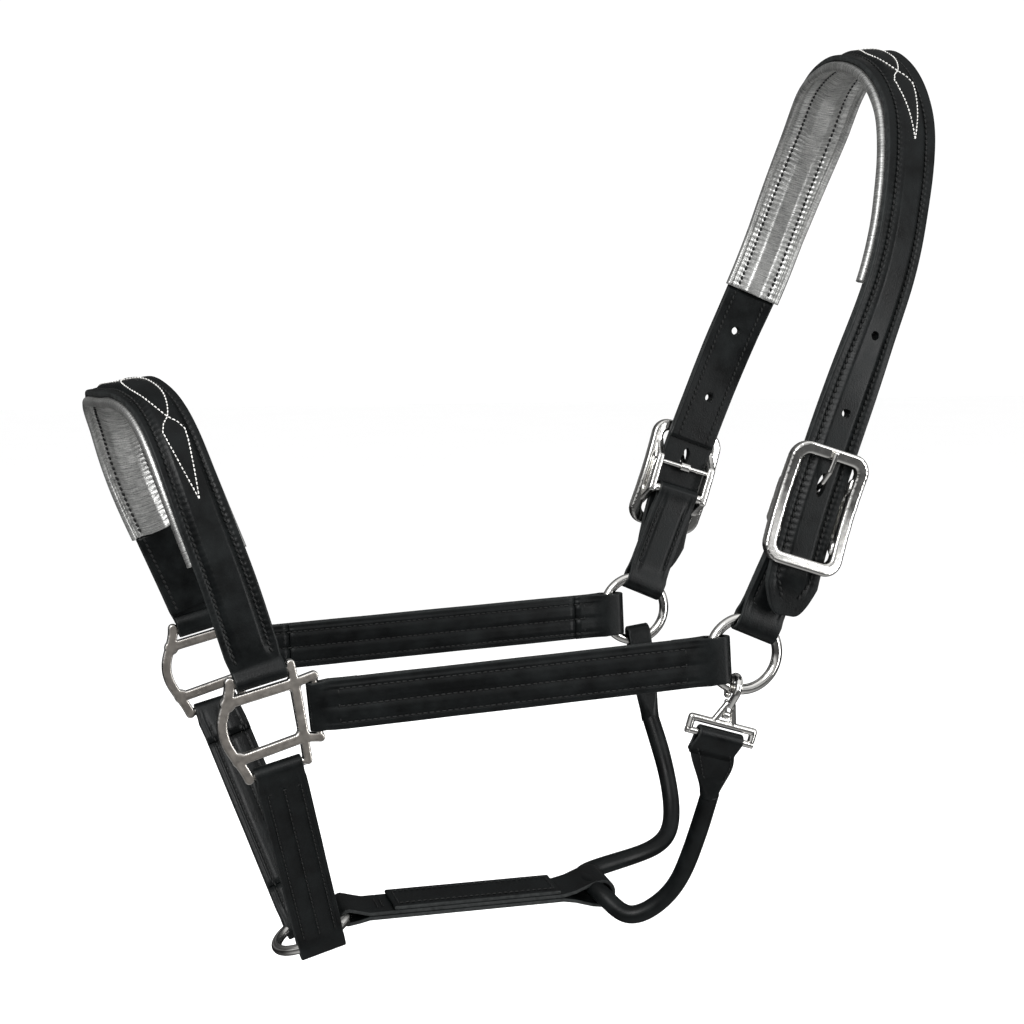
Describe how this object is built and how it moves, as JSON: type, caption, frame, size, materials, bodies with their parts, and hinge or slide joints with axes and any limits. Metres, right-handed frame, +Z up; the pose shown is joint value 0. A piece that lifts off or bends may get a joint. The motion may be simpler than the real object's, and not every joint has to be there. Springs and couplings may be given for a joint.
{
  "type": "horse headcollar",
  "caption": "Padded leather headcollar with buckled crown, cheek squares and rings, chin ring, jowl strap and rolled throat lash with a snap hook.",
  "frame": {"origin": "poll seat: the underside of the padded crown at its highest point", "axes": "+Z up, -X towards the nose, +Y towards the off (right) side of the horse"},
  "size_m": [0.4506, 0.216, 0.489],
  "materials": {
    "black_leather": "black bridle leather, waxed, fine grain",
    "silver_lining": "metallic silver brushed soft leather",
    "polished_steel": "polished stainless steel",
    "satin_steel": "satin cast stainless steel"
  },
  "bodies": {
    "headpiece": {"crown_strap": "black_leather", "crown_lining": "silver_lining", "near_crown_facing": "black_leather", "near_chape": "black_leather", "near_buckle": "polished_steel", "near_tongue_rod": "polished_steel", "far_crown_facing": "black_leather", "far_chape": "black_leather", "far_buckle": "polished_steel", "far_tongue_rod": "polished_steel"},
    "head_frame": {"noseband_strap": "black_leather", "jowl_strap": "black_leather", "jowl_cover": "black_leather", "throat_lash": "black_leather", "near_lash_tab": "black_leather", "far_lash_tab": "black_leather", "noseband_lining": "silver_lining", "near_noseband_facing": "black_leather", "near_cheek_strap": "black_leather", "near_cheek_liner": "black_leather", "near_chin_strap": "black_leather", "near_chin_liner": "black_leather", "near_square": "satin_steel", "far_noseband_facing": "black_leather", "far_cheek_strap": "black_leather", "far_cheek_liner": "black_leather", "far_chin_strap": "black_leather", "far_chin_liner": "black_leather", "far_square": "satin_steel", "snap_crossbar": "polished_steel"},
    "near_cheek_ring": {"near_cheek_ring": "polished_steel"},
    "far_cheek_ring": {"far_cheek_ring": "polished_steel"},
    "chin_ring": {"chin_ring": "polished_steel"},
    "near_tongue": {"near_tongue": "polished_steel"},
    "far_tongue": {"far_tongue": "polished_steel"},
    "snap_hook": {"snap_frame": "polished_steel", "snap_gate_pin": "polished_steel"},
    "snap_gate": {"snap_gate": "polished_steel"}
  },
  "joints": [
    {"name": "frame_swing", "type": "hinge", "parent": "headpiece", "child": "head_frame", "pos_m": [-0.097, 0, -0.311], "axis": [0, 1, 0], "range_deg": [-30, 8]},
    {"name": "near_ring_turn", "type": "hinge", "parent": "head_frame", "child": "near_cheek_ring", "pos_m": [-0.097, -0.084, -0.311], "axis": [0, 1, 0], "continuous": true},
    {"name": "far_ring_turn", "type": "hinge", "parent": "head_frame", "child": "far_cheek_ring", "pos_m": [-0.097, 0.084, -0.311], "axis": [0, 1, 0], "continuous": true},
    {"name": "chin_ring_turn", "type": "hinge", "parent": "head_frame", "child": "chin_ring", "pos_m": [-0.31, 0, -0.464], "axis": [-0.4226, 0, 0.9063], "continuous": true},
    {"name": "near_tongue_lift", "type": "hinge", "parent": "headpiece", "child": "near_tongue", "pos_m": [-0.06296, -0.09099, -0.22776], "axis": [0.9522, -0.0019, -0.3054], "range_deg": [0, 12]},
    {"name": "far_tongue_lift", "type": "hinge", "parent": "headpiece", "child": "far_tongue", "pos_m": [-0.06296, 0.09099, -0.22776], "axis": [-0.9522, -0.0019, 0.3054], "range_deg": [0, 12]},
    {"name": "snap_swing", "type": "hinge", "parent": "head_frame", "child": "snap_hook", "pos_m": [-0.11017, -0.084, -0.35445], "axis": [0.957, 0, -0.29], "range_deg": [-3, 3]},
    {"name": "snap_gate_open", "type": "hinge", "parent": "snap_hook", "child": "snap_gate", "pos_m": [-0.10669, -0.084, -0.34296], "axis": [0.957, 0, -0.29], "range_deg": [0, 12], "stiffness_Nm_per_rad": 0.02, "springref_deg": -5.73}
  ]
}
